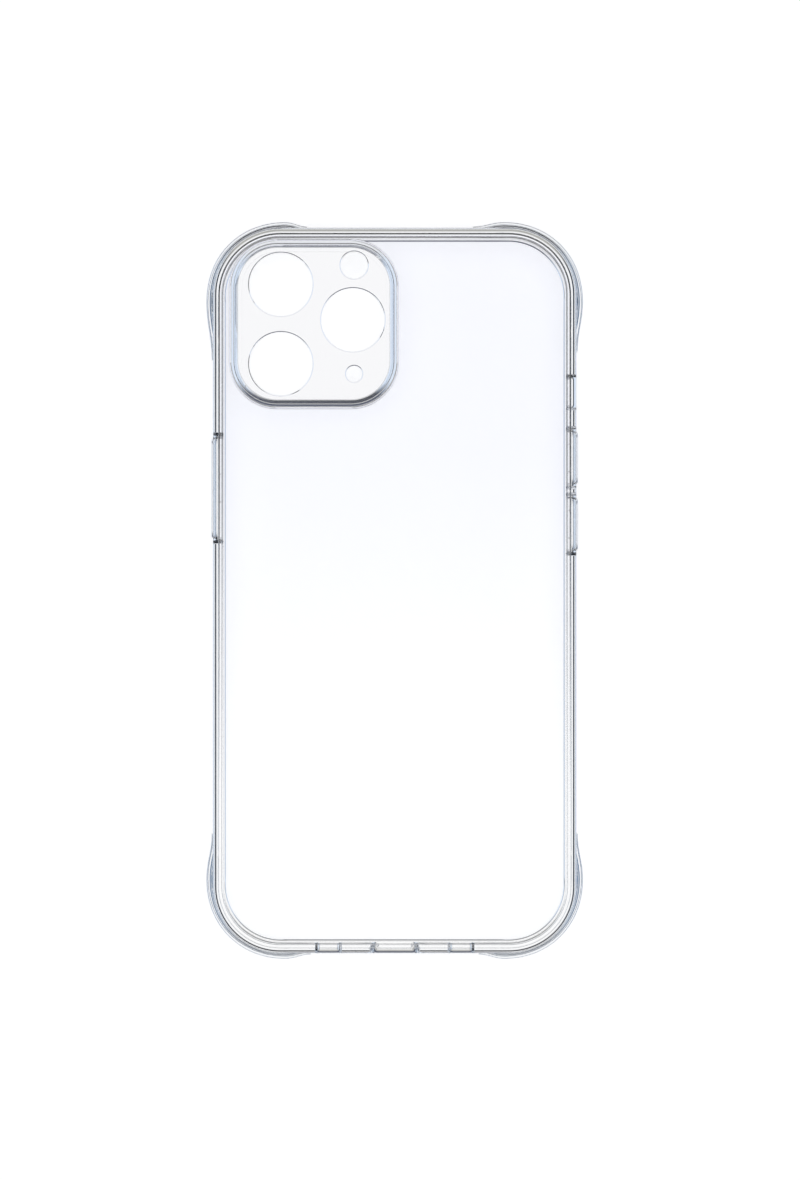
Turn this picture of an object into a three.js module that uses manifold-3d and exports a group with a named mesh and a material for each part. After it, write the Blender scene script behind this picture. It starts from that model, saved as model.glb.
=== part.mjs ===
// A clear, shock-absorbing phone case, in millimetres.
// It lies on its front lip with its back up: +Z points out of the back, +Y to the phone's top edge, and
// +X to the right of someone looking at the back. The origin is under the centre, on the lip's plane.

import * as THREE from "three";
import { mergeVertices } from "three/addons/utils/BufferGeometryUtils.js";
import Module from "manifold-3d";

const wasm = await Module();
wasm.setup();

// ---------------------------------------------------------------- driving dimensions

const PHONE = { width: 71.5, length: 146.7, depth: 7.65, corner: 12 };
const WALL = 2;
const LIP = { height: 1.2, reach: 0.5 };
const PLATE = { thickness: 1.5 };
const TONGUE = { reach: 0.75, height: 0.3, thickness: 0.5 }; // height is above the plate's inner face
const EDGE_RADIUS = { back: 1.8, front: 0.6 };
const GAP = 0.1; // between pieces that are moulded or pressed against each other

// The raised guard round the phone's lenses, and the cover plate that sits inside it.
const GUARD = { x: -16.75, y: 55.3, width: 34.3, corner: 9.5, wall: 1.2, rise: 2.2, rim: 0.5, rib: 0.45 };
const LEDGE = { reach: 0.9, height: 0.35 };
const COVER = { thickness: 1, edge: 0.15 };
const LENS_HOLES = [
  { x: -6.85, y: 8.15, radius: 6.6 },
  { x: -6.85, y: -8.3, radius: 6.6 },
  { x: 8.1, y: 0.8, radius: 6.6 },
  { x: 8.35, y: 12.15, radius: 2.85 },
  { x: 8.35, y: -10.4, radius: 1.7 },
];

// Openings in the side wall. The port's mouth flares from its inner to its outer width.
const PORT = { innerWidth: 9.6, outerWidth: 12.9, height: 5.6, corner: 1.9 };
const SPEAKER_SLOT = { x: 13.8, width: 5.6, height: 2.4 };
const MUTE_WINDOW = { y: 41.2, length: 7.5, height: 4.6, corner: 1.2 };

// Side buttons: a pad that stands proud of the wall, held from inside by a wider flange.
const BUTTONS = [
  { name: "power_button", side: -1, y: 21.3, length: 20.8 },
  { name: "volume_up_button", side: 1, y: 27.6, length: 10.8 },
  { name: "volume_down_button", side: 1, y: 13.8, length: 10.8 },
];
const PAD = { height: 3.6, corner: 1.5, proud: 0.4, edge: 0.3, clearance: 0.25 };
const FLANGE = { margin: 0.7, thickness: 0.5, setback: 0.15 };
const PLUNGER = { length: 6, height: 1.6, corner: 0.5, thickness: 0.2 };
const SKIN_AT_BUTTONS = 0.9;

// Corner cushions: caps that swell past the frame and close an air cell between the two.
// sideReach and endReach run from the frame's corner along its long and its short edge.
const CUSHIONS = [
  { name: "corner_cushion_top_left", sx: -1, sy: 1, sideReach: 27.5, endReach: 19.5 },
  { name: "corner_cushion_top_right", sx: 1, sy: 1, sideReach: 25.7, endReach: 21.5 },
  { name: "corner_cushion_bottom_left", sx: -1, sy: -1, sideReach: 24.8, endReach: 20.3 },
  { name: "corner_cushion_bottom_right", sx: 1, sy: -1, sideReach: 24.8, endReach: 20.3 },
];
const SWELL = { side: 1.4, end: 1.2, tip: 0.3, sideCrest: 15.3, endCrest: 15, roundness: 0.58, ease: 0.4 };
const CUSHION_HEIGHT = { low: 0.6, high: 9.1, edge: 0.8 };
const AIR_CELL = { low: 2.2, high: 7.8, skin: 0.85, depth: 1, margin: 2.5 };

const ARC_STEPS = 8;
const EDGE_STEPS = 3;

// ---------------------------------------------------------------- derived sizes and levels

const CASE = {
  width: PHONE.width + 2 * WALL,
  length: PHONE.length + 2 * WALL,
  corner: PHONE.corner + WALL,
};
const SCREEN_Z = LIP.height;
const SEAT_Z = SCREEN_Z + PHONE.depth;
const BACK_Z = SEAT_Z + PLATE.thickness;
const MIDDLE_Z = SCREEN_Z + PHONE.depth / 2;
const SIDE_X = CASE.width / 2;
const END_Y = CASE.length / 2;
const LEDGE_Z = BACK_Z + LEDGE.height;
const PAST = 5; // how far a cutter runs past what it cuts
const SHORT_PAST = 1; // the same where a longer one would reach another wall
const SLIVER = 0.01; // keeps a pill's round ends from meeting in a point

// ---------------------------------------------------------------- shapes and solids

function roundedRectangle(width, length, radius, x = 0, y = 0) {
  const shape = new THREE.Shape();
  const [cx, cy] = [width / 2 - radius, length / 2 - radius];
  shape.absarc(x + cx, y + cy, radius, 0, Math.PI / 2);
  shape.absarc(x - cx, y + cy, radius, Math.PI / 2, Math.PI);
  shape.absarc(x - cx, y - cy, radius, Math.PI, 1.5 * Math.PI);
  shape.absarc(x + cx, y - cy, radius, 1.5 * Math.PI, 2 * Math.PI);
  return shape;
}

// The case's outline, grown outwards by some distance, or shrunk by a negative one.
function caseOutline(growth) {
  return roundedRectangle(CASE.width + 2 * growth, CASE.length + 2 * growth, CASE.corner + growth);
}

// The camera guard's outline, grown or shrunk in the same way.
function guardOutline(growth) {
  const width = GUARD.width + 2 * growth;
  return roundedRectangle(width, width, GUARD.corner + growth, GUARD.x, GUARD.y);
}

// A shape extruded from low to high, with both rims rounded by edge.
function slabGeometry(shape, low, high, edge = 0) {
  const geometry = new THREE.ExtrudeGeometry(shape, {
    depth: high - low - 2 * edge,
    curveSegments: ARC_STEPS,
    bevelEnabled: edge > 0,
    bevelThickness: edge,
    bevelSize: edge,
    bevelOffset: -edge,
    bevelSegments: EDGE_STEPS,
  });
  return geometry.translate(0, 0, low + edge);
}

function solidOf(geometry) {
  geometry.deleteAttribute("normal");
  geometry.deleteAttribute("uv");
  const merged = mergeVertices(geometry, 1e-4);
  return new wasm.Manifold(
    new wasm.Mesh({
      numProp: 3,
      vertProperties: merged.getAttribute("position").array,
      triVerts: new Uint32Array(merged.index.array),
    }),
  );
}

function slab(shape, low, high, edge = 0) {
  return solidOf(slabGeometry(shape, low, high, edge));
}

// A slab drawn looking at a side wall: the shape's x runs along Y and its y along Z, and low and high
// count outwards from the case's middle, along -X or +X as side says.
function sideSlab(shape, side, low, high, edge = 0) {
  const along = new THREE.Vector3(0, side, 0);
  const up = new THREE.Vector3(0, 0, 1);
  const out = new THREE.Vector3(side, 0, 0);
  const turn = new THREE.Matrix4().makeBasis(along, up, out);
  return solidOf(slabGeometry(shape, low, high, edge).applyMatrix4(turn));
}

// The same for the bottom wall: the shape's x runs along X, and low and high count towards -Y.
function bottomSolid(geometry) {
  const along = new THREE.Vector3(1, 0, 0);
  const up = new THREE.Vector3(0, 0, 1);
  const out = new THREE.Vector3(0, -1, 0);
  return solidOf(geometry.applyMatrix4(new THREE.Matrix4().makeBasis(along, up, out)));
}

function bottomSlab(shape, low, high) {
  return bottomSolid(slabGeometry(shape, low, high));
}

// ---------------------------------------------------------------- bumper frame

// The outside of the frame, grown by some distance, with its rounded back and front rims.
function frameOutside(growth) {
  const back = slab(caseOutline(growth), -PAST, BACK_Z + growth, EDGE_RADIUS.back + growth);
  const front = slab(caseOutline(growth), -growth, BACK_Z + PAST, EDGE_RADIUS.front + growth);
  return back.intersect(front);
}

// The back plate before its camera opening is cut: its outline, with a thinner tongue round its edge.
function plateBody(growth) {
  const tongueLow = SEAT_Z + TONGUE.height;
  const tongueHigh = tongueLow + TONGUE.thickness;
  const body = slab(caseOutline(growth - WALL), SEAT_Z - growth, BACK_Z + growth);
  const tongue = slab(caseOutline(growth - WALL + TONGUE.reach), tongueLow - growth, tongueHigh + growth);
  return body.add(tongue);
}

// The relief behind each cushion, cut into the outside of the frame's corners.
function airCellReliefs() {
  const band = slab(caseOutline(PAST), AIR_CELL.low, AIR_CELL.high);
  const ring = band.subtract(slab(caseOutline(-AIR_CELL.depth), -PAST, BACK_Z + PAST));
  const corners = CUSHIONS.map(({ sx, sy, sideReach, endReach }) => {
    const width = endReach - AIR_CELL.margin + PAST;
    const length = sideReach - AIR_CELL.margin + PAST;
    const block = new THREE.BoxGeometry(width, length, 4 * BACK_Z);
    return solidOf(block.translate(sx * (SIDE_X + PAST - width / 2), sy * (END_Y + PAST - length / 2), 0));
  });
  return ring.intersect(wasm.Manifold.union(corners));
}

// The port's opening widens from the phone's side of the wall to the outside.
function portOpening() {
  const mouth = roundedRectangle(PORT.innerWidth, PORT.height, PORT.corner);
  const wall = slabGeometry(mouth, 0, WALL);
  const corners = wall.getAttribute("position");
  for (let i = 0; i < corners.count; i += 1) {
    if (corners.getZ(i) > WALL / 2) {
      corners.setX(i, (corners.getX(i) * PORT.outerWidth) / PORT.innerWidth);
    }
  }
  wall.translate(0, MIDDLE_Z, END_Y - WALL);
  const inside = roundedRectangle(PORT.innerWidth, PORT.height, PORT.corner, 0, MIDDLE_Z);
  const outside = roundedRectangle(PORT.outerWidth, PORT.height, PORT.corner, 0, MIDDLE_Z);
  return bottomSolid(wall)
    .add(bottomSlab(inside, END_Y - WALL - SHORT_PAST, END_Y - WALL + GAP))
    .add(bottomSlab(outside, END_Y - GAP, END_Y + PAST));
}

function speakerSlot(side) {
  const { x, width, height } = SPEAKER_SLOT;
  const pill = roundedRectangle(width, height, height / 2 - SLIVER, side * x, MIDDLE_Z);
  return bottomSlab(pill, END_Y - WALL - PAST, END_Y + PAST);
}

function muteWindow() {
  const { y, length, height, corner } = MUTE_WINDOW;
  const opening = roundedRectangle(length, height, corner, y, MIDDLE_Z);
  return sideSlab(opening, 1, SIDE_X - WALL - PAST, SIDE_X + PAST);
}

// A button's window through the wall, and the wider pocket behind it for the flange.
function buttonWindow(button) {
  const { clearance, height, corner } = PAD;
  const centre = button.side * button.y;
  const length = button.length + 2 * clearance;
  const hole = roundedRectangle(length, height + 2 * clearance, corner, centre, MIDDLE_Z);
  const margin = 2 * (FLANGE.margin + clearance);
  const pocket = roundedRectangle(length + margin, height + 2 * clearance + margin, corner, centre, MIDDLE_Z);
  const inside = SIDE_X - WALL - SHORT_PAST;
  return sideSlab(hole, button.side, inside, SIDE_X + PAST).add(
    sideSlab(pocket, button.side, inside, SIDE_X - SKIN_AT_BUTTONS),
  );
}

function bumperFrame() {
  const phoneBay = slab(caseOutline(-WALL), SCREEN_Z, SEAT_Z);
  const lipMouth = slab(caseOutline(-WALL - LIP.reach), -PAST, SCREEN_Z + LIP.height / 2);
  const cutters = [
    phoneBay,
    lipMouth,
    plateBody(GAP),
    airCellReliefs(),
    portOpening(),
    speakerSlot(-1),
    speakerSlot(1),
    muteWindow(),
    ...BUTTONS.map(buttonWindow),
  ];
  return frameOutside(0).subtract(wasm.Manifold.union(cutters));
}

// ---------------------------------------------------------------- corner cushions

// The plan of one cushion, from its tip on the side edge round the corner to its tip on the end edge, and
// back through a point inside the frame. For its air cell, skin moves the swollen part inwards, margin
// shortens both arms, and the tips lie on the frame's outline.
function cushionPlan({ sx, sy, sideReach, endReach }, skin = 0, margin = 0) {
  const tip = skin > 0 ? 0 : SWELL.tip;
  const sideTip = [SIDE_X + tip, END_Y - sideReach + margin];
  const sideCrest = [SIDE_X + SWELL.side - skin, END_Y - SWELL.sideCrest];
  const endCrest = [SIDE_X - SWELL.endCrest, END_Y + SWELL.end - skin];
  const endTip = [SIDE_X - endReach + margin, END_Y + tip];
  const sideEase = SWELL.ease * (sideCrest[1] - sideTip[1]);
  const endEase = SWELL.ease * (endCrest[0] - endTip[0]);
  const roundX = SWELL.roundness * (sideCrest[0] - endCrest[0]);
  const roundY = SWELL.roundness * (endCrest[1] - sideCrest[1]);
  const at = ([x, y]) => [sx * x, sy * y];
  const shape = new THREE.Shape();
  const curveTo = (a, b, end) => shape.bezierCurveTo(...at(a), ...at(b), ...at(end));
  shape.moveTo(...at(sideTip));
  curveTo([sideTip[0], sideTip[1] + sideEase], [sideCrest[0], sideCrest[1] - sideEase], sideCrest);
  curveTo([sideCrest[0], sideCrest[1] + roundY], [endCrest[0] + roundX, endCrest[1]], endCrest);
  curveTo([endCrest[0] - endEase, endCrest[1]], [endTip[0] + endEase, endTip[1]], endTip);
  shape.lineTo(...at([endTip[0], endTip[1] - 2 * WALL]));
  shape.lineTo(...at([sideTip[0] - 2 * WALL, sideTip[1]]));
  shape.closePath();
  return shape;
}

function cornerCushion(cushion) {
  const { low, high, edge } = CUSHION_HEIGHT;
  const outside = slab(cushionPlan(cushion), low, high, edge);
  const airCell = slab(cushionPlan(cushion, AIR_CELL.skin, AIR_CELL.margin), AIR_CELL.low, AIR_CELL.high);
  return outside.subtract(frameOutside(GAP)).subtract(airCell);
}

// ---------------------------------------------------------------- back plate and camera guard

// The guard is a collar through the plate, held by a rib that runs in a groove in the plate's opening.
function guardBody(growth) {
  const ribLow = SEAT_Z + TONGUE.height;
  const ribHigh = ribLow + TONGUE.thickness;
  const collar = slab(guardOutline(growth), SEAT_Z - PAST, BACK_Z + GUARD.rise, GUARD.rim);
  const rib = slab(guardOutline(growth + GUARD.rib), ribLow - growth, ribHigh + growth);
  return collar.add(rib);
}

function backPlate() {
  return plateBody(0).subtract(guardBody(GAP));
}

function cameraGuard() {
  const below = slab(guardOutline(GUARD.rib + SHORT_PAST), -PAST, SEAT_Z);
  const bay = slab(guardOutline(-GUARD.wall - LEDGE.reach), -PAST, BACK_Z + PAST);
  const coverRecess = slab(guardOutline(-GUARD.wall), LEDGE_Z, BACK_Z + PAST);
  return guardBody(0).subtract(below).subtract(bay).subtract(coverRecess);
}

function lensCover() {
  const bottom = LEDGE_Z + GAP;
  const plate = slab(guardOutline(-GUARD.wall - GAP), bottom, bottom + COVER.thickness, COVER.edge);
  const holes = LENS_HOLES.map(({ x, y, radius }) => {
    const cylinder = new THREE.CylinderGeometry(radius, radius, 4 * PAST, 4 * ARC_STEPS);
    return solidOf(cylinder.rotateX(Math.PI / 2).translate(GUARD.x + x, GUARD.y + y, BACK_Z));
  });
  return plate.subtract(wasm.Manifold.union(holes));
}

// ---------------------------------------------------------------- buttons

function sideButton(button) {
  const centre = button.side * button.y;
  const flangeOut = SIDE_X - SKIN_AT_BUTTONS - FLANGE.setback;
  const flangeIn = flangeOut - FLANGE.thickness;
  const pad = roundedRectangle(button.length, PAD.height, PAD.corner, centre, MIDDLE_Z);
  const flange = roundedRectangle(
    button.length + 2 * FLANGE.margin,
    PAD.height + 2 * FLANGE.margin,
    PAD.corner,
    centre,
    MIDDLE_Z,
  );
  const plunger = roundedRectangle(PLUNGER.length, PLUNGER.height, PLUNGER.corner, centre, MIDDLE_Z);
  return sideSlab(pad, button.side, flangeIn, SIDE_X + PAD.proud, PAD.edge)
    .add(sideSlab(flange, button.side, flangeIn, flangeOut))
    .add(sideSlab(plunger, button.side, flangeIn - PLUNGER.thickness, flangeOut));
}

// ---------------------------------------------------------------- the assembly

const flexibleClear = new THREE.MeshStandardMaterial({
  color: 0xe6edf5,
  roughness: 0.08,
  metalness: 0,
  transparent: true,
  opacity: 0.35,
});
const rigidClear = new THREE.MeshStandardMaterial({
  color: 0xf4f5fa,
  roughness: 0.03,
  metalness: 0,
  transparent: true,
  opacity: 0.2,
});

function piece(name, solid, material) {
  const { vertProperties, triVerts } = solid.getMesh();
  const geometry = new THREE.BufferGeometry();
  geometry.setAttribute("position", new THREE.BufferAttribute(vertProperties, 3));
  geometry.setIndex(new THREE.BufferAttribute(triVerts, 1));
  geometry.computeVertexNormals();
  const mesh = new THREE.Mesh(geometry, material);
  mesh.name = name;
  return mesh;
}

const phoneCase = new THREE.Group();
phoneCase.add(piece("bumper_frame", bumperFrame(), flexibleClear));
phoneCase.add(piece("back_plate", backPlate(), rigidClear));
phoneCase.add(piece("camera_guard", cameraGuard(), flexibleClear));
phoneCase.add(piece("lens_cover", lensCover(), rigidClear));
for (const cushion of CUSHIONS) {
  phoneCase.add(piece(cushion.name, cornerCushion(cushion), flexibleClear));
}
for (const button of BUTTONS) {
  phoneCase.add(piece(button.name, sideButton(button), flexibleClear));
}

export default phoneCase;
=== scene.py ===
"""A clear shock-absorbing phone case, lying on its front lip, seen from straight above its back.

The real walls are clear plastic over a bright field: their lines come from the darker flags round it,
which the plastic bends into view. So the pieces are modelled with the joints and grooves inside them.
The back plate bends nothing, so its edge lines are painted shade: a near-black colour painted on its
slants.
"""

import math

import bmesh
import bpy
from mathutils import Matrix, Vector


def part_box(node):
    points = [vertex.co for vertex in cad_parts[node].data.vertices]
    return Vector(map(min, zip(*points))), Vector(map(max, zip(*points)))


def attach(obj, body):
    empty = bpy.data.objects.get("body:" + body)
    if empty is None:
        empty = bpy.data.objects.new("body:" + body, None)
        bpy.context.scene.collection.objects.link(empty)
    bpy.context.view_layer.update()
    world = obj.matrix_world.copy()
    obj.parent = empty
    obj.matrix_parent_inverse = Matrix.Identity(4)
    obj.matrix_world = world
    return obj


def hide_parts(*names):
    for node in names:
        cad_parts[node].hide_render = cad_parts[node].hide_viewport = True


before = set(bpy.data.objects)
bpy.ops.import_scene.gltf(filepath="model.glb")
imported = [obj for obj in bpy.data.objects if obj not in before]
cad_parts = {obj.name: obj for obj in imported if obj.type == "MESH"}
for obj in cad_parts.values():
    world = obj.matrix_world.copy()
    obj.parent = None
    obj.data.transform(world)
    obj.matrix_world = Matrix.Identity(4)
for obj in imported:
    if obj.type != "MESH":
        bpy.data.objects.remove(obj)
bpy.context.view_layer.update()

MM = 0.001


def mm(*values):
    scaled = tuple(value * MM for value in values)
    return scaled if len(scaled) > 1 else scaled[0]


# ---------------------------------------------------------------- sizes, from the frame where given

FRAME_LOW, FRAME_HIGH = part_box("bumper_frame")
PLATE_LOW, PLATE_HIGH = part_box("back_plate")
GUARD_LOW, GUARD_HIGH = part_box("camera_guard")
COVER_LOW, COVER_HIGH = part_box("lens_cover")

SIDE_X, END_Y, BACK_Z = FRAME_HIGH
SEAT_Z = PLATE_LOW.z
CASE_CORNER = mm(14)
WALL = mm(2)
LIP_HEIGHT, LIP_REACH = mm(1.2, 0.5)
LIP_BEVEL_WIDTH, LIP_BEVEL_DROP = mm(0.27, 0.243)
MIDDLE_Z = (LIP_HEIGHT + SEAT_Z) / 2
BACK_ROUND, FRONT_ROUND = mm(1.8, 0.6)
SEAM = mm(0.05)  # the gap between pieces that are moulded together
CUTTER_OVERRUN = mm(1)  # how far a cutter goes past what it cuts
WELD = mm(0.0005)  # points nearer than this become one
TONGUE_REACH = PLATE_HIGH.x - (SIDE_X - WALL)
TONGUE_LOW = SEAT_Z + mm(0.3)
TONGUE_HIGH = TONGUE_LOW + mm(0.5)
TONGUE_NOSE = mm(0.4)
PLATE_BEVEL = mm(0.12)
SEAM_FILLET, GROOVE_FILLET, SEAT_FILLET = mm(0.04, 0.1, 0.05)
LIP_BEVEL_FILLET, LIP_FILLET = mm(0.02, 0.08)

GUARD_RIB = mm(0.45)
GUARD_X = (GUARD_LOW.x + GUARD_HIGH.x) / 2
GUARD_Y = (GUARD_LOW.y + GUARD_HIGH.y) / 2
GUARD_HALF = (GUARD_HIGH.x - GUARD_LOW.x) / 2 - GUARD_RIB
GUARD_CORNER = mm(9.5)
GUARD_WALL = mm(1.3)
RIDGE_AT, RIDGE_OUTER_DROP, RIDGE_INNER_DROP = mm(0.45, 0.8, 0.91)
RIDGE_FILLET, RIB_FILLET = mm(0.04, 0.06)
LEDGE_REACH = mm(0.9)
LEDGE_Z = BACK_Z + mm(0.35)
COVER_ROUND = mm(0.15)
SKIRT_REACH, SKIRT_THICKNESS, SKIRT_RISE = mm(0.5, 0.04, 0.2)
HOLE_BEVEL_WIDTH, HOLE_BEVEL_DROP = mm(0.16, 0.205)
LENS_HOLES = [  # x and y from the middle of the guard, and radius
    mm(-6.85, 8.15, 6.6),
    mm(-6.85, -8.3, 6.6),
    mm(8.1, 0.8, 6.6),
    mm(8.35, 12.15, 2.85),
    mm(8.35, -10.4, 1.7),
]

PORT_INNER, PORT_OUTER, PORT_HEIGHT, PORT_CORNER = mm(9.6, 12.9, 5.6, 1.9)
SPEAKER_X, SPEAKER_WIDTH, SPEAKER_HEIGHT, SPEAKER_CORNER = mm(13.8, 5.6, 2.4, 1.17)
MUTE_Y, MUTE_LENGTH, MUTE_HEIGHT, MUTE_CORNER = mm(41.2, 7.5, 4.6, 1.2)
OPENING_RIM, PAD_OPENING_RIM = mm(0.05, 0.25)

PAD_HEIGHT, PAD_CORNER, PAD_ROUND, PAD_CLEARANCE = mm(3.6, 1.5, 0.4, 0.25)
FLANGE_MARGIN, FLANGE_SETBACK, FLANGE_THICKNESS = mm(0.7, 0.15, 0.5)
BUTTON_SKIN = mm(0.9)  # of frame wall left over a button's flange
RIB_HALF_LENGTH, RIB_HALF_HEIGHT, RIB_CORNER = mm(3, 0.8, 0.5)

CELL_LOW, CELL_HIGH, CELL_SKIN = mm(2.2, 7.8, 0.65)
RELIEF_DEPTH, RELIEF_MARGIN, RELIEF_RAMP = mm(1, 2.5, 2.5)
CUSHION_LOW, CUSHION_HIGH, CUSHION_ROUND = mm(0.6, 9.1, 0.55)
SIDE_CREST, END_CREST, TIP_STEP = mm(15.3, 15, 0.3)
CUSHION_ROUNDNESS = 0.58  # of the way to the corner, for the curve's handles
TIP_EASE = 0.4

ARC_STEPS = 28
EDGE_STEPS = 8
RIM_STEPS = 6
WALL_STEPS = 4
COVER_STEPS = 4
HOLE_STEPS = 96
CUSHION_STEPS = (20, 60, 16)  # up the side, round the corner, along the end

BUTTONS = ("power_button", "volume_up_button", "volume_down_button")


# ---------------------------------------------------------------- outlines and cross-sections


def arc(cx, cy, radius, start, end, steps):
    """Points on an arc, with angles in quarter turns."""
    points = []
    for i in range(steps + 1):
        angle = (start + (end - start) * i / steps) * math.pi / 2
        points.append((cx + radius * math.cos(angle), cy + radius * math.sin(angle)))
    return points


def rounded_rectangle(half_x, half_y, radius, steps=EDGE_STEPS):
    points = []
    for turn, (sx, sy) in enumerate([(1, 1), (-1, 1), (-1, -1), (1, -1)]):
        centre_x, centre_y = sx * (half_x - radius), sy * (half_y - radius)
        points += arc(centre_x, centre_y, radius, turn, turn + 1, steps)
    return points


def outline_path(centre_x, centre_y, half_x, half_y, radius, straight_step):
    """Stations round a rounded rectangle, anticlockwise: each a point and its outward direction."""
    corners = []
    for turn, (sx, sy) in enumerate([(1, 1), (-1, 1), (-1, -1), (1, -1)]):
        middle = Vector((centre_x + sx * (half_x - radius), centre_y + sy * (half_y - radius)))
        rays = [Vector(point) for point in arc(0, 0, 1, turn, turn + 1, ARC_STEPS)]
        corners.append([(middle + radius * ray, ray) for ray in rays])
    stations = []
    for corner, following in zip(corners, corners[1:] + corners[:1]):
        stations += corner
        (start, ray), (end, _) = corner[-1], following[0]
        steps = max(1, round((end - start).length / straight_step))
        stations += [(start.lerp(end, i / steps), ray) for i in range(1, steps)]
    return stations


def filleted(corners, steps=5):
    """A closed outline from (x, y, radius) corners, each turned into an arc of its radius."""
    points = []
    for i, (x, y, radius) in enumerate(corners):
        corner = Vector((x, y))
        if not radius:
            points.append((x, y))
            continue
        before = (Vector(corners[i - 1][:2]) - corner).normalized()
        after = (Vector(corners[(i + 1) % len(corners)][:2]) - corner).normalized()
        half_angle = before.angle(after) / 2
        middle = corner + (before + after).normalized() * radius / math.sin(half_angle)
        start = (corner + before * radius / math.tan(half_angle) - middle).normalized()
        end = (corner + after * radius / math.tan(half_angle) - middle).normalized()
        points += [tuple(middle + radius * start.slerp(end, k / steps)) for k in range(steps + 1)]
    return points


def smooth_step(value, low, high):
    t = min(1, max(0, (value - low) / (high - low)))
    return t * t * (3 - 2 * t)


def cell_depth(z, deepest):
    """How deep an air cell is at this height: its roof and floor slope at 45 degrees."""
    return max(0, min(deepest, z - CELL_LOW, CELL_HIGH - z))


# ---------------------------------------------------------------- meshes


def new_piece(name, vertices, faces):
    mesh = bpy.data.meshes.new(name)
    mesh.from_pydata(vertices, [], faces)
    build = bmesh.new()
    build.from_mesh(mesh)
    bmesh.ops.remove_doubles(build, verts=build.verts, dist=WELD)
    bmesh.ops.recalc_face_normals(build, faces=build.faces)
    build.to_mesh(mesh)
    build.free()
    piece = bpy.data.objects.new(name, mesh)
    bpy.context.scene.collection.objects.link(piece)
    return piece


def skinned(name, sections, closed):
    """A mesh through cross-sections of equal point counts, with a face at each end unless closed."""
    count, around = len(sections), len(sections[0])
    vertices = [tuple(point) for section in sections for point in section]
    faces = []
    for i in range(count if closed else count - 1):
        j = (i + 1) % count
        for k in range(around):
            m = (k + 1) % around
            faces.append((i * around + k, j * around + k, j * around + m, i * around + m))
    if not closed:
        faces.append(tuple(range(around)))
        faces.append(tuple((count - 1) * around + k for k in range(around)))
    return new_piece(name, vertices, faces)


def swept(name, stations, section):
    """A ring: section gives (distance inwards, height) points for each station of an outline."""
    rings = []
    for point, ray in stations:
        ring = [(*(point - ray * inwards), z) for inwards, z in section(point, ray)]
        rings.append(ring)
    return skinned(name, rings, closed=True)


def cut(piece, cutters):
    """Cuts solids out of a piece, and removes them."""
    for cutter in cutters:
        step = piece.modifiers.new("cut", "BOOLEAN")
        step.operation = "DIFFERENCE"
        step.solver = "EXACT"
        step.object = cutter
    apply_modifiers(piece)
    for cutter in cutters:
        bpy.data.objects.remove(cutter)


def apply_modifiers(piece):
    depsgraph = bpy.context.evaluated_depsgraph_get()
    applied = bpy.data.meshes.new_from_object(piece.evaluated_get(depsgraph))
    piece.modifiers.clear()
    piece.data = applied


def shade(piece, sharp_angle=32):
    """Smooth shading that keeps flat faces flat and edges crisp."""
    piece.data.shade_smooth()
    piece.data.set_sharp_from_angle(angle=math.radians(sharp_angle))
    weights = piece.modifiers.new("weights", "WEIGHTED_NORMAL")
    weights.mode = "FACE_AREA"
    weights.weight = 50
    weights.keep_sharp = True
    apply_modifiers(piece)


# ---------------------------------------------------------------- bumper frame


def relief_depth(point):
    """How deep the frame's outside is cut back at this point, for a cushion's air cell."""
    end = "top" if point.y > 0 else "bottom"
    side = "right" if point.x > 0 else "left"
    low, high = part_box(f"corner_cushion_{end}_{side}")
    tip_x = min(abs(low.x), abs(high.x)) + RELIEF_MARGIN
    tip_y = min(abs(low.y), abs(high.y)) + RELIEF_MARGIN
    along_x = smooth_step(abs(point.x), tip_x, tip_x + RELIEF_RAMP)
    along_y = smooth_step(abs(point.y), tip_y, tip_y + RELIEF_RAMP)
    return RELIEF_DEPTH * along_x * along_y


def wall_levels(depth, low, high):
    """Heights up a wall: even steps from low to the bends of an air cell this deep, and to high."""
    bends = [low, CELL_LOW, CELL_LOW + depth, CELL_HIGH - depth, CELL_HIGH, high]
    heights = []
    for start, end in zip(bends, bends[1:]):
        heights += [start + (end - start) * i / WALL_STEPS for i in range(1, WALL_STEPS + 1)]
    return heights[:-1]


def frame_section(point, ray):
    """(distance inwards, height) round the band: front edge, outer wall, back edge, groove, lip."""
    depth = relief_depth(point)
    front = arc(FRONT_ROUND, FRONT_ROUND, FRONT_ROUND, 3, 2, EDGE_STEPS)
    wall = [(cell_depth(z, depth), z) for z in wall_levels(depth, FRONT_ROUND, BACK_Z - BACK_ROUND)]
    back = arc(BACK_ROUND, BACK_Z - BACK_ROUND, BACK_ROUND, 2, 1, 2 * EDGE_STEPS)
    joint = WALL - SEAM
    groove = WALL - TONGUE_REACH - SEAM
    lip = WALL + LIP_REACH
    inside = filleted(
        [
            (joint, BACK_Z, SEAM_FILLET),
            (joint, TONGUE_HIGH + SEAM, 0),
            (groove, TONGUE_HIGH + SEAM, GROOVE_FILLET),
            (groove, TONGUE_LOW - SEAM, GROOVE_FILLET),
            (joint, TONGUE_LOW - SEAM, 0),
            (joint, SEAT_Z - SEAM, 0),
            (WALL, SEAT_Z - SEAM, 0),
            (WALL, LIP_HEIGHT, SEAT_FILLET),
            (lip - LIP_BEVEL_WIDTH, LIP_HEIGHT, LIP_BEVEL_FILLET),
            (lip, LIP_HEIGHT - LIP_BEVEL_DROP, LIP_BEVEL_FILLET),
            (lip, 0, LIP_FILLET),
            (FRONT_ROUND + mm(0.2), 0, 0),
        ]
    )
    return front + wall + back + inside


def side_cutter(side, centre_y, levels):
    """A solid through a side wall: levels of (distance out, half length, half height, corner)."""
    rings = []
    for out, half_length, half_height, radius in levels:
        ring = rounded_rectangle(half_length, half_height, radius)
        rings.append([(side * out, centre_y + y, MIDDLE_Z + z) for y, z in ring])
    return skinned("cutter", rings, closed=False)


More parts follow.
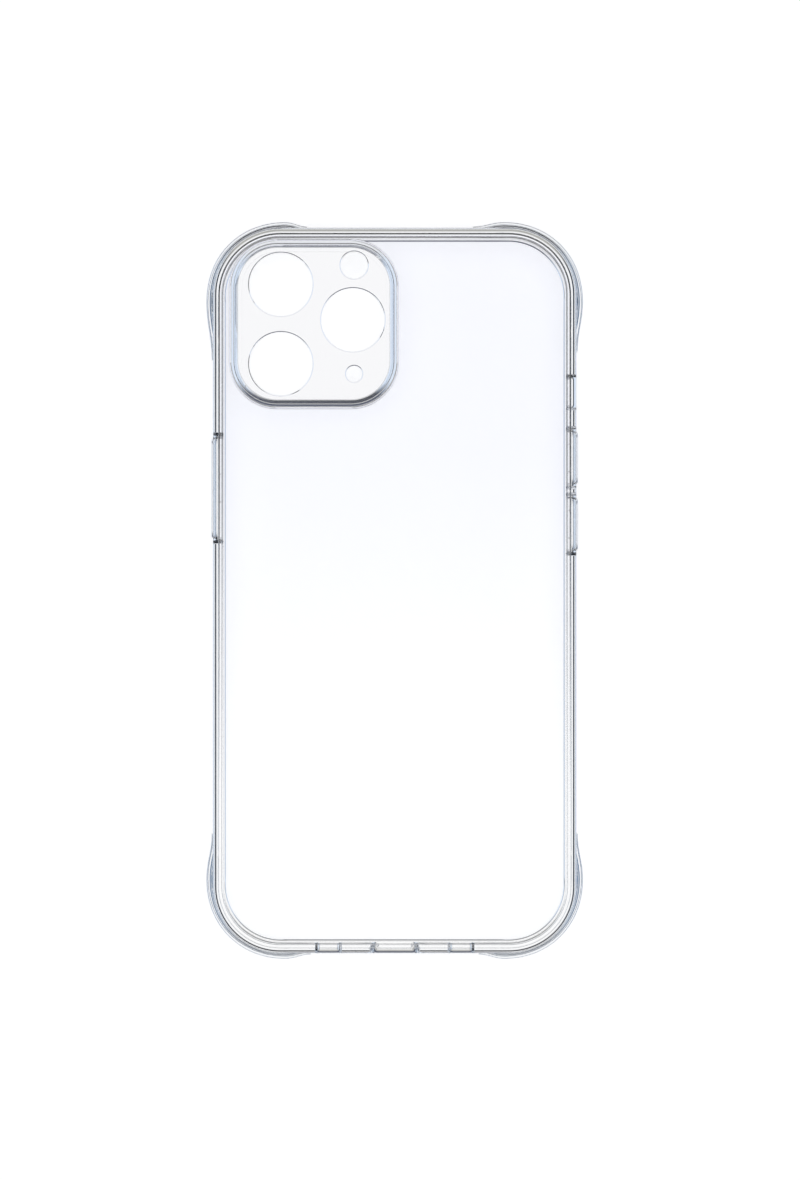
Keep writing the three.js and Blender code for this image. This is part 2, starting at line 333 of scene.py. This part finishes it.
def bottom_cutter(centre_x, levels):
    """The same through the bottom end."""
    rings = []
    for out, half_length, half_height, radius in levels:
        ring = rounded_rectangle(half_length, half_height, radius)
        rings.append([(centre_x + x, -out, MIDDLE_Z + z) for x, z in ring])
    return skinned("cutter", rings, closed=False)


def rimmed(half_length, half_height, radius, inner, outer, rim):
    """Levels of an opening from inside a wall to its outer face, where its rim is rounded."""
    levels = [(inner, half_length, half_height, radius)]
    for distance, grow in arc(0, 0, rim, 1, 0, RIM_STEPS):
        swell = rim - grow
        levels.append((outer - rim + distance, half_length + swell, half_height + swell, radius + swell))
    beyond = (outer + CUTTER_OVERRUN, *levels[-1][1:])
    return levels + [beyond]


def button_cutter(name):
    """The window for a button's pad, with a wider pocket behind it for the flange."""
    low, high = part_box(name)
    side = 1 if high.x > 0 else -1
    half_length = (high.y - low.y) / 2 - FLANGE_MARGIN + PAD_CLEARANCE
    half_height = PAD_HEIGHT / 2 + PAD_CLEARANCE
    margin = FLANGE_MARGIN + PAD_CLEARANCE
    pocket = (half_length + margin, half_height + margin, PAD_CORNER)
    pocket_out = SIDE_X - BUTTON_SKIN
    levels = [(SIDE_X - WALL - CUTTER_OVERRUN, *pocket), (pocket_out, *pocket)]
    levels += rimmed(half_length, half_height, PAD_CORNER, pocket_out, SIDE_X, PAD_OPENING_RIM)
    return side_cutter(side, (low.y + high.y) / 2, levels)


def port_cutter():
    """The charging port, whose mouth flares out over the wall's thickness."""
    half_height = PORT_HEIGHT / 2
    inner = END_Y - WALL
    narrow = (PORT_INNER / 2, half_height, PORT_CORNER)
    levels = [(inner - CUTTER_OVERRUN, *narrow), (inner, *narrow)]
    mouth = END_Y - OPENING_RIM - WELD
    levels += rimmed(PORT_OUTER / 2, half_height, PORT_CORNER, mouth, END_Y, OPENING_RIM)
    return bottom_cutter(0, levels)


def bumper_frame():
    """The band round the phone, with its windows, port and slots."""
    stations = outline_path(0, 0, SIDE_X, END_Y, CASE_CORNER, mm(1.5))
    piece = swept("bumper_frame_moulding", stations, frame_section)
    mute_inner = SIDE_X - WALL - CUTTER_OVERRUN
    mute_half = (MUTE_LENGTH / 2, MUTE_HEIGHT / 2, MUTE_CORNER)
    mute = side_cutter(1, MUTE_Y, rimmed(*mute_half, mute_inner, SIDE_X, OPENING_RIM))
    cutters = [mute, port_cutter()]
    slot_inner = END_Y - WALL - CUTTER_OVERRUN
    slot_half = (SPEAKER_WIDTH / 2, SPEAKER_HEIGHT / 2, SPEAKER_CORNER)
    for side in (-1, 1):
        slot = rimmed(*slot_half, slot_inner, END_Y, OPENING_RIM)
        cutters.append(bottom_cutter(side * SPEAKER_X, slot))
    cutters += [button_cutter(button) for button in BUTTONS]
    cut(piece, cutters)
    shade(piece)
    return piece


# ---------------------------------------------------------------- corner cushions


def bezier(a, b, c, d, steps):
    """Points on a cubic curve from a to d, with handles b and c."""
    points = []
    for i in range(steps + 1):
        t = i / steps
        s = 1 - t
        points.append(a * s**3 + b * 3 * s * s * t + c * 3 * s * t * t + d * t**3)
    return points


def cushion_plan(name):
    """The swollen outline of a corner in the first quadrant, from its side tip to its end tip."""
    low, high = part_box(name)
    far_x, far_y = max(abs(low.x), abs(high.x)), max(abs(low.y), abs(high.y))
    near_x, near_y = min(abs(low.x), abs(high.x)), min(abs(low.y), abs(high.y))
    side_tip = Vector((SIDE_X + TIP_STEP, near_y))
    side_crest = Vector((far_x, END_Y - SIDE_CREST))
    end_crest = Vector((SIDE_X - END_CREST, far_y))
    end_tip = Vector((near_x, END_Y + TIP_STEP))
    side_ease = Vector((0, TIP_EASE * (side_crest.y - side_tip.y)))
    end_ease = Vector((TIP_EASE * (end_crest.x - end_tip.x), 0))
    round_x = Vector((CUSHION_ROUNDNESS * (side_crest.x - end_crest.x), 0))
    round_y = Vector((0, CUSHION_ROUNDNESS * (end_crest.y - side_crest.y)))
    up, around, along = CUSHION_STEPS
    points = bezier(side_tip, side_tip + side_ease, side_crest - side_ease, side_crest, up)
    points += bezier(side_crest, side_crest + round_y, end_crest + round_x, end_crest, around)[1:]
    points += bezier(end_crest, end_crest - end_ease, end_tip + end_ease, end_tip, along)[1:]
    return points


def foot_on_outline(point):
    """The nearest point of the case's outline, the way out there, and how far out this point is."""
    middle = Vector((SIDE_X - CASE_CORNER, END_Y - CASE_CORNER))
    if point.y < middle.y:
        foot, ray = Vector((SIDE_X, point.y)), Vector((1, 0))
    elif point.x < middle.x:
        foot, ray = Vector((point.x, END_Y)), Vector((0, 1))
    else:
        ray = (point - middle).normalized()
        foot = middle + ray * CASE_CORNER
    return foot, ray, (point - foot).dot(ray)


def cushion_section(swell):
    """(distance outwards, height) round the wall of a cushion that swells this far."""
    turn = math.acos(max(-1, min(1, (SEAM - swell + CUSHION_ROUND) / CUSHION_ROUND))) * 2 / math.pi
    core = swell - CUSHION_ROUND
    low_turn = arc(core, CUSHION_LOW + CUSHION_ROUND, CUSHION_ROUND, 4 - turn, 4, 2 * EDGE_STEPS)
    high_turn = arc(core, CUSHION_HIGH - CUSHION_ROUND, CUSHION_ROUND, 0, turn, 2 * EDGE_STEPS)
    outside = low_turn + high_turn
    bottom, top = outside[0][1], outside[-1][1]
    cell = max(0, swell - CELL_SKIN - SEAM)
    inside = []
    for z in reversed(wall_levels(cell, bottom, top)):
        over_back = max(0, z - (BACK_Z - BACK_ROUND))
        follow = BACK_ROUND - math.sqrt(BACK_ROUND**2 - over_back**2)
        inside.append((SEAM - follow + cell_depth(z, cell), z))
    return outside + inside


def corner_cushion(name, sx, sy):
    """A cushion in the corner given by the signs sx and sy."""
    sections = []
    for point in cushion_plan(name):
        foot, ray, swell = foot_on_outline(point)
        section = []
        for out, z in cushion_section(swell):
            place = foot + ray * out
            section.append((sx * place.x, sy * place.y, z))
        sections.append(section)
    piece = skinned(name + "_skin", sections, closed=False)
    shade(piece)
    return piece


# ---------------------------------------------------------------- back plate and camera guard


def plate_rings(half_x, half_y, corner):
    """Levels of the plate's edge, with its round-nosed tongue, as rings for skinned()."""
    nose = (TONGUE_HIGH - TONGUE_LOW) / 2
    tongue = [
        (TONGUE_REACH + TONGUE_NOSE * (x - 1), TONGUE_LOW + nose * (1 + z))
        for x, z in arc(0, 0, 1, -1, 1, 2 * EDGE_STEPS)
    ]
    levels = [(0, SEAT_Z), (0, TONGUE_LOW), *tongue, (0, TONGUE_HIGH)]
    levels += [(0, BACK_Z - PLATE_BEVEL), (-PLATE_BEVEL, BACK_Z)]
    rings = []
    for grow, z in levels:
        ring = rounded_rectangle(half_x + grow, half_y + grow, corner + grow, 2 * ARC_STEPS)
        rings.append([(x, y, z) for x, y in ring])
    return rings


def guard_opening():
    """The cutter for the plate's camera opening, with the groove for the guard's rib."""
    rib = GUARD_RIB + SEAM
    levels = [
        (SEAM, SEAT_Z - CUTTER_OVERRUN),
        (SEAM, TONGUE_LOW - SEAM),
        (rib, TONGUE_LOW - SEAM),
        (rib, TONGUE_HIGH + SEAM),
        (SEAM, TONGUE_HIGH + SEAM),
        (SEAM, BACK_Z + CUTTER_OVERRUN),
    ]
    rings = []
    for grow, z in levels:
        half = GUARD_HALF + grow
        ring = rounded_rectangle(half, half, GUARD_CORNER + grow, 2 * ARC_STEPS)
        rings.append([(GUARD_X + x, GUARD_Y + y, z) for x, y in ring])
    return skinned("cutter", rings, closed=False)


def back_plate():
    """The clear sheet in the band, with the camera's opening."""
    half_x, half_y, corner = SIDE_X - WALL, END_Y - WALL, CASE_CORNER - WALL
    piece = skinned("back_plate_sheet", plate_rings(half_x, half_y, corner), closed=False)
    cut(piece, [guard_opening()])
    shade(piece)
    return piece


def guard_section(point, ray):
    """(distance inwards, height) round the guard: rib, thin skirt on the plate, ridged top and ledge."""
    ledge = GUARD_WALL + LEDGE_REACH
    foot = BACK_Z + SEAM
    outer_shoulder = GUARD_HIGH.z - RIDGE_OUTER_DROP
    inner_shoulder = GUARD_HIGH.z - RIDGE_INNER_DROP
    skirt = [
        (SKIRT_REACH, 0),
        (SKIRT_REACH - SKIRT_THICKNESS, SKIRT_THICKNESS),
        (mm(0.1), SKIRT_THICKNESS),
        (mm(0.03), 2 * SKIRT_THICKNESS),
        (0, SKIRT_RISE),
    ]
    below = filleted(
        [
            (0, SEAT_Z, 0),
            (0, TONGUE_LOW, 0),
            (-GUARD_RIB, TONGUE_LOW, RIB_FILLET),
            (-GUARD_RIB, TONGUE_HIGH, RIB_FILLET),
            (0, TONGUE_HIGH, 0),
            (0, foot, 0),
        ]
    )
    above = filleted(
        [
            (0, foot + SKIRT_RISE, 0),
            (0, outer_shoulder, RIDGE_FILLET),
            (RIDGE_AT, GUARD_HIGH.z, RIDGE_FILLET),
            (GUARD_WALL, inner_shoulder, RIDGE_FILLET),
            (GUARD_WALL, LEDGE_Z, 0),
            (ledge, LEDGE_Z, 0),
            (ledge, SEAT_Z, 0),
        ]
    )
    return below + [(-out, foot + up) for out, up in skirt] + above[1:]


def camera_guard():
    """The raised ring round the lenses."""
    stations = outline_path(GUARD_X, GUARD_Y, GUARD_HALF, GUARD_HALF, GUARD_CORNER, mm(2))
    piece = swept("camera_guard_ring", stations, guard_section)
    shade(piece)
    return piece


def lens_cover():
    """The thin plate inside the guard, with its bevelled holes."""
    half = GUARD_HALF - GUARD_WALL - SEAM
    corner = GUARD_CORNER - GUARD_WALL
    bottom_turn = arc(-COVER_ROUND, COVER_LOW.z + COVER_ROUND, COVER_ROUND, 3, 4, COVER_STEPS)
    top_turn = arc(-COVER_ROUND, COVER_HIGH.z - COVER_ROUND, COVER_ROUND, 0, 1, COVER_STEPS)
    rings = []
    for grow, z in bottom_turn + top_turn:
        ring = rounded_rectangle(half + grow, half + grow, corner + grow, ARC_STEPS)
        rings.append([(GUARD_X + x, GUARD_Y + y, z) for x, y in ring])
    piece = skinned("lens_cover_sheet", rings, closed=False)
    cutters = []
    circle = arc(0, 0, 1, 0, 4, HOLE_STEPS)[:-1]
    for x, y, radius in LENS_HOLES:
        wide = radius + HOLE_BEVEL_WIDTH
        levels = [
            (radius, COVER_LOW.z - CUTTER_OVERRUN),
            (radius, COVER_HIGH.z - HOLE_BEVEL_DROP),
            (wide, COVER_HIGH.z),
            (wide, COVER_HIGH.z + CUTTER_OVERRUN),
        ]
        rings = []
        for r, z in levels:
            rings.append([(GUARD_X + x + r * cx, GUARD_Y + y + r * cy, z) for cx, cy in circle])
        cutters.append(skinned("cutter", rings, closed=False))
    cut(piece, cutters)
    shade(piece)
    return piece


# ---------------------------------------------------------------- buttons


def side_button(name):
    """A pad with a rounded rim, and behind it the flange that holds it and the rib for the phone."""
    low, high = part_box(name)
    side = 1 if high.x > 0 else -1
    outer = max(abs(low.x), abs(high.x))
    inner = min(abs(low.x), abs(high.x))
    half_pad = (high.y - low.y) / 2 - FLANGE_MARGIN
    half_height = PAD_HEIGHT / 2
    flange_out = SIDE_X - BUTTON_SKIN - FLANGE_SETBACK
    flange_in = flange_out - FLANGE_THICKNESS
    rib = (RIB_HALF_LENGTH, RIB_HALF_HEIGHT, RIB_CORNER)
    flange = (half_pad + FLANGE_MARGIN, half_height + FLANGE_MARGIN, PAD_CORNER)
    levels = [(inner, *rib), (flange_in, *rib), (flange_in, *flange), (flange_out, *flange)]
    levels.append((flange_out, half_pad, half_height, PAD_CORNER))
    for out, shrink in arc(0, 0, PAD_ROUND, 1, 0, RIM_STEPS):
        inset = PAD_ROUND - shrink
        size = (half_pad - inset, half_height - inset, PAD_CORNER - inset)
        levels.append((outer - PAD_ROUND + out, *size))
    rings = []
    for out, half_length, half, radius in levels:
        ring = rounded_rectangle(half_length, half, radius)
        rings.append([(side * out, (low.y + high.y) / 2 + y, MIDDLE_Z + z) for y, z in ring])
    piece = skinned(name + "_pad", rings, closed=False)
    shade(piece)
    return piece


# ---------------------------------------------------------------- materials

# Levelness, 1 for level and 0 for upright, between which each effect comes in.
# The first pair is where the back plate's slanted edges get painted shade, a near-black line painted on.
SHEET_PAINTED_EDGE = (0.99, 0.95)
SHELL_SLOPE_FROM = (0.85, 0.75)
SHELL_SLOPE_TO = (0.3, 0.5)

HANDLING, RIPPLES, CLOUDING = (90.0, 3.0), (120.0, 1.0), (25.0, 2.0)  # scale per metre, and detail
MIRROR_TINT = (0.9, 0.9, 0.9, 1)
# A near-black mirror colour painted on the back plate's slanted edges: painted shade, not a reflection.
PAINTED_EDGE_SHADE = (0.01, 0.01, 0.015, 1)


def node(tree, kind, inputs=(), **settings):
    """Adds a node, with (socket, value or output) pairs for its inputs."""
    made = tree.nodes.new(kind)
    for name, value in settings.items():
        setattr(made, name, value)
    for socket, value in inputs:
        if isinstance(value, bpy.types.NodeSocket):
            tree.links.new(value, made.inputs[socket])
        else:
            made.inputs[socket].default_value = value
    return made


def arithmetic(tree, operation, first, second=0.0):
    made = node(tree, "ShaderNodeMath", [(0, first), (1, second)], operation=operation)
    return made.outputs["Value"]


def remapped(tree, value, start, end, low=0.0, high=1.0):
    """Low where the value is start, high where it is end, even between them and level beyond."""
    ends = [("From Min", start), ("From Max", end), ("To Min", low), ("To Max", high)]
    return node(tree, "ShaderNodeMapRange", [("Value", value), *ends]).outputs["Result"]


def blended(tree, share, first, second):
    """A colour between two. A colour mix takes them on inputs 6 and 7, and gives it on output 2."""
    inputs = [("Factor", share), (6, first), (7, second)]
    return node(tree, "ShaderNodeMix", inputs, data_type="RGBA").outputs[2]


def layered(tree, share, first, second):
    made = node(tree, "ShaderNodeMixShader", [("Fac", share), (1, first), (2, second)])
    return made.outputs["Shader"]


def speckle(tree, place, scale, detail):
    made = node(tree, "ShaderNodeTexNoise", [("Vector", place), ("Scale", scale), ("Detail", detail)])
    return made.outputs["Fac"]


def height_of(tree, direction):
    return node(tree, "ShaderNodeSeparateXYZ", [("Vector", direction)]).outputs["Z"]


def new_material(name):
    """A material with node editing on, its tree, and where points are in the object's own space."""
    material = bpy.data.materials.new(name)
    material.use_nodes = True
    tree = material.node_tree
    return material, tree, node(tree, "ShaderNodeTexCoord").outputs["Object"]


def clear_plastic(name, refraction, tint, tint_depth, haze, ripple):
    """A clear moulding, faintly rippled, whose tint deepens along the path through it."""
    material, tree, place = new_material(name)
    shader = tree.nodes["Principled BSDF"]
    shader.inputs["Transmission Weight"].default_value = 1
    shader.inputs["IOR"].default_value = refraction
    shader.inputs["Base Color"].default_value = (1, 1, 1, 1)
    handled = remapped(tree, speckle(tree, place, *HANDLING), 0.35, 0.7, high=haze)
    tree.links.new(handled, shader.inputs["Roughness"])
    wave = [("Height", speckle(tree, place, *RIPPLES)), ("Strength", ripple), ("Distance", mm(0.1))]
    tree.links.new(node(tree, "ShaderNodeBump", wave).outputs["Normal"], shader.inputs["Normal"])
    soaked = [("Color", (*tint, 1)), ("Density", 1 / tint_depth)]
    volume = node(tree, "ShaderNodeVolumeAbsorption", soaked)
    tree.links.new(volume.outputs["Volume"], tree.nodes["Material Output"].inputs["Volume"])
    return material


def outer_fresnel(tree, refraction):
    """How much the outer faces mirror at this slant. Inner ones don't, as the ray isn't bent."""
    slant = node(tree, "ShaderNodeFresnel", [("IOR", refraction)]).outputs["Fac"]
    behind = node(tree, "ShaderNodeNewGeometry").outputs["Backfacing"]
    return arithmetic(tree, "MULTIPLY", slant, arithmetic(tree, "SUBTRACT", 1.0, behind))


def levelness(tree):
    """1 where the surface is level, 0 where it is upright."""
    facing = node(tree, "ShaderNodeTexCoord").outputs["Normal"]
    return arithmetic(tree, "ABSOLUTE", height_of(tree, facing))


def mirror_over_clear(tree, share, tint, roughness, mirror_colour_and_painted_edge=(0.8, 0.8, 0.8, 1)):
    """Sets the surface: clear and tinted, and by its share a mirror. Light goes straight through it."""
    tree.nodes.remove(tree.nodes["Principled BSDF"])
    through = node(tree, "ShaderNodeBsdfTransparent", [("Color", tint)]).outputs["BSDF"]
    polish = [("Roughness", roughness), ("Color", mirror_colour_and_painted_edge)]
    mirror = node(tree, "ShaderNodeBsdfGlossy", polish).outputs["BSDF"]
    surface = tree.nodes["Material Output"].inputs["Surface"]
    tree.links.new(layered(tree, share, through, mirror), surface)


def clear_shell(name, refraction, tint):
    """A skin too thin to bend what is seen through it. Its slopes mirror, as inside a prism."""
    material, tree, place = new_material(name)
    level = levelness(tree)
    not_flat = remapped(tree, level, *SHELL_SLOPE_FROM)
    not_upright = remapped(tree, level, *SHELL_SLOPE_TO)
    slope = arithmetic(tree, "MULTIPLY", not_flat, not_upright)
    share = arithmetic(tree, "MAXIMUM", outer_fresnel(tree, refraction), slope)
    roughness = remapped(tree, speckle(tree, place, *HANDLING), 0.0, 1.0, 0.02, 0.12)
    mirror_over_clear(tree, share, (*tint, 1), roughness)
    return material


def clear_sheet(name, refraction, tint, haze, painted_shade_from, painted_shade_to):
    """A flat clear sheet, too thin to bend what is seen through it: it tints it and mirrors at a slant.

    Its slanted edges are painted near-black, a painted shade line. Its faint tint is painted deeper at
    the top end, also painted shade. Both fade along the case, from the first given place to the second.
    """
    material, tree, place = new_material(name)
    cloud = speckle(tree, place, *CLOUDING)
    paler = [min(1, channel + haze) for channel in tint]
    along = node(tree, "ShaderNodeSeparateXYZ", [("Vector", place)]).outputs["Y"]
    # Painted shade along the case: 0 at the top end, where the tint and painted dark edges are full, to
    # 1 further down, where they are gone.
    painted_shade_fade = remapped(tree, along, painted_shade_from, painted_shade_to)
    clouded = blended(tree, cloud, (*tint, 1), (*paler, 1))
    tint_with_painted_shade = blended(tree, painted_shade_fade, clouded, (1, 1, 1, 1))
    # The sheet's slanted edges, which get painted shade: a near-black line.
    painted_edge_mask = remapped(tree, levelness(tree), *SHEET_PAINTED_EDGE)
    edge = arithmetic(tree, "MULTIPLY", painted_edge_mask, arithmetic(tree, "SUBTRACT", 1.0, painted_shade_fade))
    # The mirror colour, turned near-black on the edges: painted shade, not a reflection.
    mirror_colour_and_painted_edge = blended(tree, edge, MIRROR_TINT, PAINTED_EDGE_SHADE)
    share = arithmetic(tree, "MAXIMUM", outer_fresnel(tree, refraction), edge)
    roughness = remapped(tree, cloud, 0.0, 1.0, 0.01, 0.06)
    mirror_over_clear(tree, share, tint_with_painted_shade, roughness, mirror_colour_and_painted_edge)
    return material


def finish_piece(piece, body, name, material):
    """Gives the piece its material, ties it to its body, and hides the CAD part it stands for."""
    piece.data.materials.clear()
    piece.data.materials.append(material)
    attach(piece, body)
    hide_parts(name)


# ---------------------------------------------------------------- studio

WHITE = (1.0, 1.0, 1.0)
BLACK_FLAG = (0.015, 0.017, 0.025)
TAUPE = (0.46, 0.46, 0.44)
DUSK = (0.07, 0.08, 0.12)
BLUE_FLAG = (0.02, 0.03, 0.05)
PALE_BLUE = (0.70, 0.80, 0.94)
PALE = (0.80, 0.82, 0.86)
STEEL = (0.24, 0.33, 0.46)
MIST = (0.42, 0.46, 0.52)
DARK_ROOM = (0.02, 0.02, 0.03)
PAPER = (0.9, 0.9, 0.9, 1)
PAPER_GLOW = 0.78

# What is seen in each direction, by its height: -1 straight down is a white field, then come darker
# flags, a pale floor, and from just below the horizon the room. Headings differ: y is up the case.
BEYOND_TOP = [(-0.978, WHITE), (-0.96, TAUPE), (-0.915, TAUPE)]
BEYOND_TOP += [(-0.90, DUSK), (-0.76, DUSK), (-0.66, PALE), (-0.12, PALE)]
BEYOND_BOTTOM = [(-0.955, WHITE), (-0.945, BLACK_FLAG), (-0.90, BLACK_FLAG)]
BEYOND_BOTTOM += [(-0.885, PALE), (-0.12, PALE)]
BEYOND_SIDES = [(-0.954, WHITE), (-0.946, BLUE_FLAG), (-0.914, BLUE_FLAG)]
BEYOND_SIDES += [(-0.904, PALE_BLUE), (-0.12, PALE)]
OVER_TOP = [(-0.07, DARK_ROOM), (0.80, DARK_ROOM), (0.95, WHITE)]
OVER_BOTTOM = [(-0.07, MIST), (0.30, MIST), (0.60, DARK_ROOM), (0.80, DARK_ROOM), (0.95, WHITE)]
OVER_SIDES = [(-0.07, STEEL), (0.30, STEEL), (0.60, DARK_ROOM), (0.80, DARK_ROOM), (0.95, WHITE)]


def sky_ramp(tree, height, stops):
    """A colour for each height of a direction, from -1 straight down to 1 straight up."""
    ramp = node(tree, "ShaderNodeValToRGB", [("Fac", height)])
    elements = ramp.color_ramp.elements
    while len(elements) < len(stops):
        elements.new(0.5)
    for element, (z, colour) in zip(elements, stops):
        element.position = (z + 1) / 2
        element.color = (*colour, 1)
    return ramp.outputs["Color"]


def surroundings():
    """A bright field straight below, seen through the clear walls, and darker flags round it."""
    world = bpy.data.worlds.new("studio")
    bpy.context.scene.world = world
    world.use_nodes = True
    tree = world.node_tree
    direction = node(tree, "ShaderNodeTexCoord").outputs["Generated"]
    height = remapped(tree, height_of(tree, direction), -1.0, 1.0)
    sideways = [(0, direction), (1, (1, 1, 0))]
    level = node(tree, "ShaderNodeVectorMath", sideways, operation="MULTIPLY").outputs["Vector"]
    heading = node(tree, "ShaderNodeVectorMath", [(0, level)], operation="NORMALIZE").outputs["Vector"]
    up_the_case = node(tree, "ShaderNodeSeparateXYZ", [("Vector", heading)]).outputs["Y"]
    colour = sky_ramp(tree, height, BEYOND_SIDES + OVER_SIDES)
    for stops, sign in ((BEYOND_TOP + OVER_TOP, 1), (BEYOND_BOTTOM + OVER_BOTTOM, -1)):
        share = remapped(tree, up_the_case, sign * 0.5, sign * 0.8)
        colour = blended(tree, share, colour, sky_ramp(tree, height, stops))
    seen = node(tree, "ShaderNodeBackground", [("Color", colour)]).outputs["Background"]
    pale = node(tree, "ShaderNodeBackground", [("Color", PAPER)]).outputs["Background"]
    to_camera = node(tree, "ShaderNodeLightPath").outputs["Is Camera Ray"]
    tree.links.new(layered(tree, to_camera, seen, pale), tree.nodes["World Output"].inputs["Surface"])


def floor():
    """White paper to the eye. Light bent by the clear walls passes on to the bright field below."""
    reach = 12  # metres, past the edge of the picture in any view
    mesh = bpy.data.meshes.new("floor")
    corners = [(-reach, -reach, 0), (reach, -reach, 0), (reach, reach, 0), (-reach, reach, 0)]
    mesh.from_pydata(corners, [], [(0, 1, 2, 3)])
    sheet = bpy.data.objects.new("floor", mesh)
    sheet.location.z = -mm(0.05)
    bpy.context.scene.collection.objects.link(sheet)
    paper = bpy.data.materials.new("paper")
    paper.use_nodes = True
    tree = paper.node_tree
    shader = tree.nodes["Principled BSDF"]
    shader.inputs["Base Color"].default_value = PAPER
    shader.inputs["Roughness"].default_value = 0.9
    shader.inputs["Specular IOR Level"].default_value = 0
    shader.inputs["Emission Color"].default_value = (1, 1, 1, 1)
    shader.inputs["Emission Strength"].default_value = PAPER_GLOW
    open_air = node(tree, "ShaderNodeBsdfTransparent").outputs["BSDF"]
    to_camera = node(tree, "ShaderNodeLightPath").outputs["Is Camera Ray"]
    surface = layered(tree, to_camera, open_air, shader.outputs["BSDF"])
    tree.links.new(surface, tree.nodes["Material Output"].inputs["Surface"])
    mesh.materials.append(paper)


def camera():
    """A long lens straight above the case, which fills about five eighths of the picture's height."""
    data = bpy.data.cameras.new("camera")
    data.lens = 200
    data.sensor_width = 36
    data.clip_end = 100
    eye = bpy.data.objects.new("camera", data)
    bpy.context.scene.collection.objects.link(eye)
    picture_height = mm(244.8)
    distance = picture_height * data.lens / data.sensor_width
    right_of_middle, above_middle = mm(1.1, 0.1)  # as the photograph is framed
    eye.location = (right_of_middle, above_middle, BACK_Z + distance)
    bpy.context.scene.camera = eye


def render_settings():
    scene = bpy.context.scene
    scene.view_settings.view_transform = "Standard"
    scene.cycles.max_bounces = 32
    scene.cycles.transmission_bounces = 32
    scene.cycles.glossy_bounces = 12
    scene.cycles.transparent_max_bounces = 32


surroundings()
floor()
camera()
render_settings()

flexible = clear_plastic("flexible_clear", 1.5, (0.72, 0.82, 0.95), mm(220), 0.006, 0.003)
skin = clear_shell("flexible_skin", 1.5, (0.985, 0.99, 0.995))
# Its tint and dark edge lines are painted shade, full from 30 mm up the case and gone by 45 mm down it.
rigid = clear_sheet("rigid_clear", 1.55, (0.955, 0.958, 0.978), 0.01, mm(30), mm(-45))
cover = clear_plastic("cover_clear", 1.52, (0.3, 0.32, 0.5), mm(11), 0.004, 0.002)

finish_piece(bumper_frame(), "case", "bumper_frame", flexible)
finish_piece(back_plate(), "case", "back_plate", rigid)
finish_piece(camera_guard(), "case", "camera_guard", flexible)
finish_piece(lens_cover(), "case", "lens_cover", cover)
for end, sy in (("top", 1), ("bottom", -1)):
    for side, sx in (("left", -1), ("right", 1)):
        cushion = f"corner_cushion_{end}_{side}"
        finish_piece(corner_cushion(cushion, sx, sy), "case", cushion, skin)
for button in BUTTONS:
    finish_piece(side_button(button), button, button, flexible)
